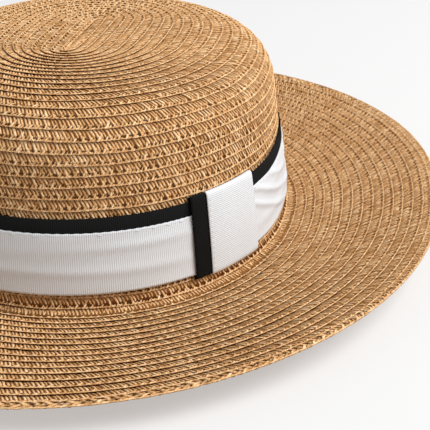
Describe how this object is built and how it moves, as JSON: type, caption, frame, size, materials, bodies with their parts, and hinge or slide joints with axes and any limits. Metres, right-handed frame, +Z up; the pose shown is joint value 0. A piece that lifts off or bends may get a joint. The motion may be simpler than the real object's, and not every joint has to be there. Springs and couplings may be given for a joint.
{
  "type": "straw boater hat",
  "caption": "Flat-topped sun hat sewn from an overlapping straw plait, with a wide flat brim and a two-tone grosgrain band whose join is covered by a folded wrap.",
  "frame": {"origin": "centre of the head oval, on the plane that the hat rests on, crown upwards", "axes": "+Z up through the crown, front of the hat towards -Y, the wearer's left towards +X"},
  "size_m": [0.3318, 0.3472, 0.0904],
  "materials": {
    "straw": "satin",
    "straw_thread": "matte",
    "black_grosgrain": "matte",
    "white_grosgrain": "matte",
    "white_thread": "matte",
    "black_thread": "matte",
    "lining_grosgrain": "matte",
    "lining_thread": "matte",
    "label": "satin"
  },
  "bodies": {
    "root": {"crown_tip_braid": "straw", "crown_side_braid": "straw", "brim_braid": "straw", "brim_edge_braid": "straw", "crown_tip_stitching": "straw_thread", "crown_side_stitching": "straw_thread", "brim_stitching": "straw_thread", "brim_edge_stitching": "straw_thread", "band_black_ribbon": "black_grosgrain", "wrap_black_ribbon": "black_grosgrain", "band_white_ribbon": "white_grosgrain", "wrap_white_ribbon": "white_grosgrain", "band_topstitching": "white_thread", "wrap_topstitching": "white_thread", "wrap_tack_stitches": "black_thread", "sweatband": "lining_grosgrain", "sweatband_seam_tape": "lining_grosgrain", "sweatband_stitching": "lining_thread", "size_label_stitches": "lining_thread", "size_label": "label"}
  },
  "joints": []
}
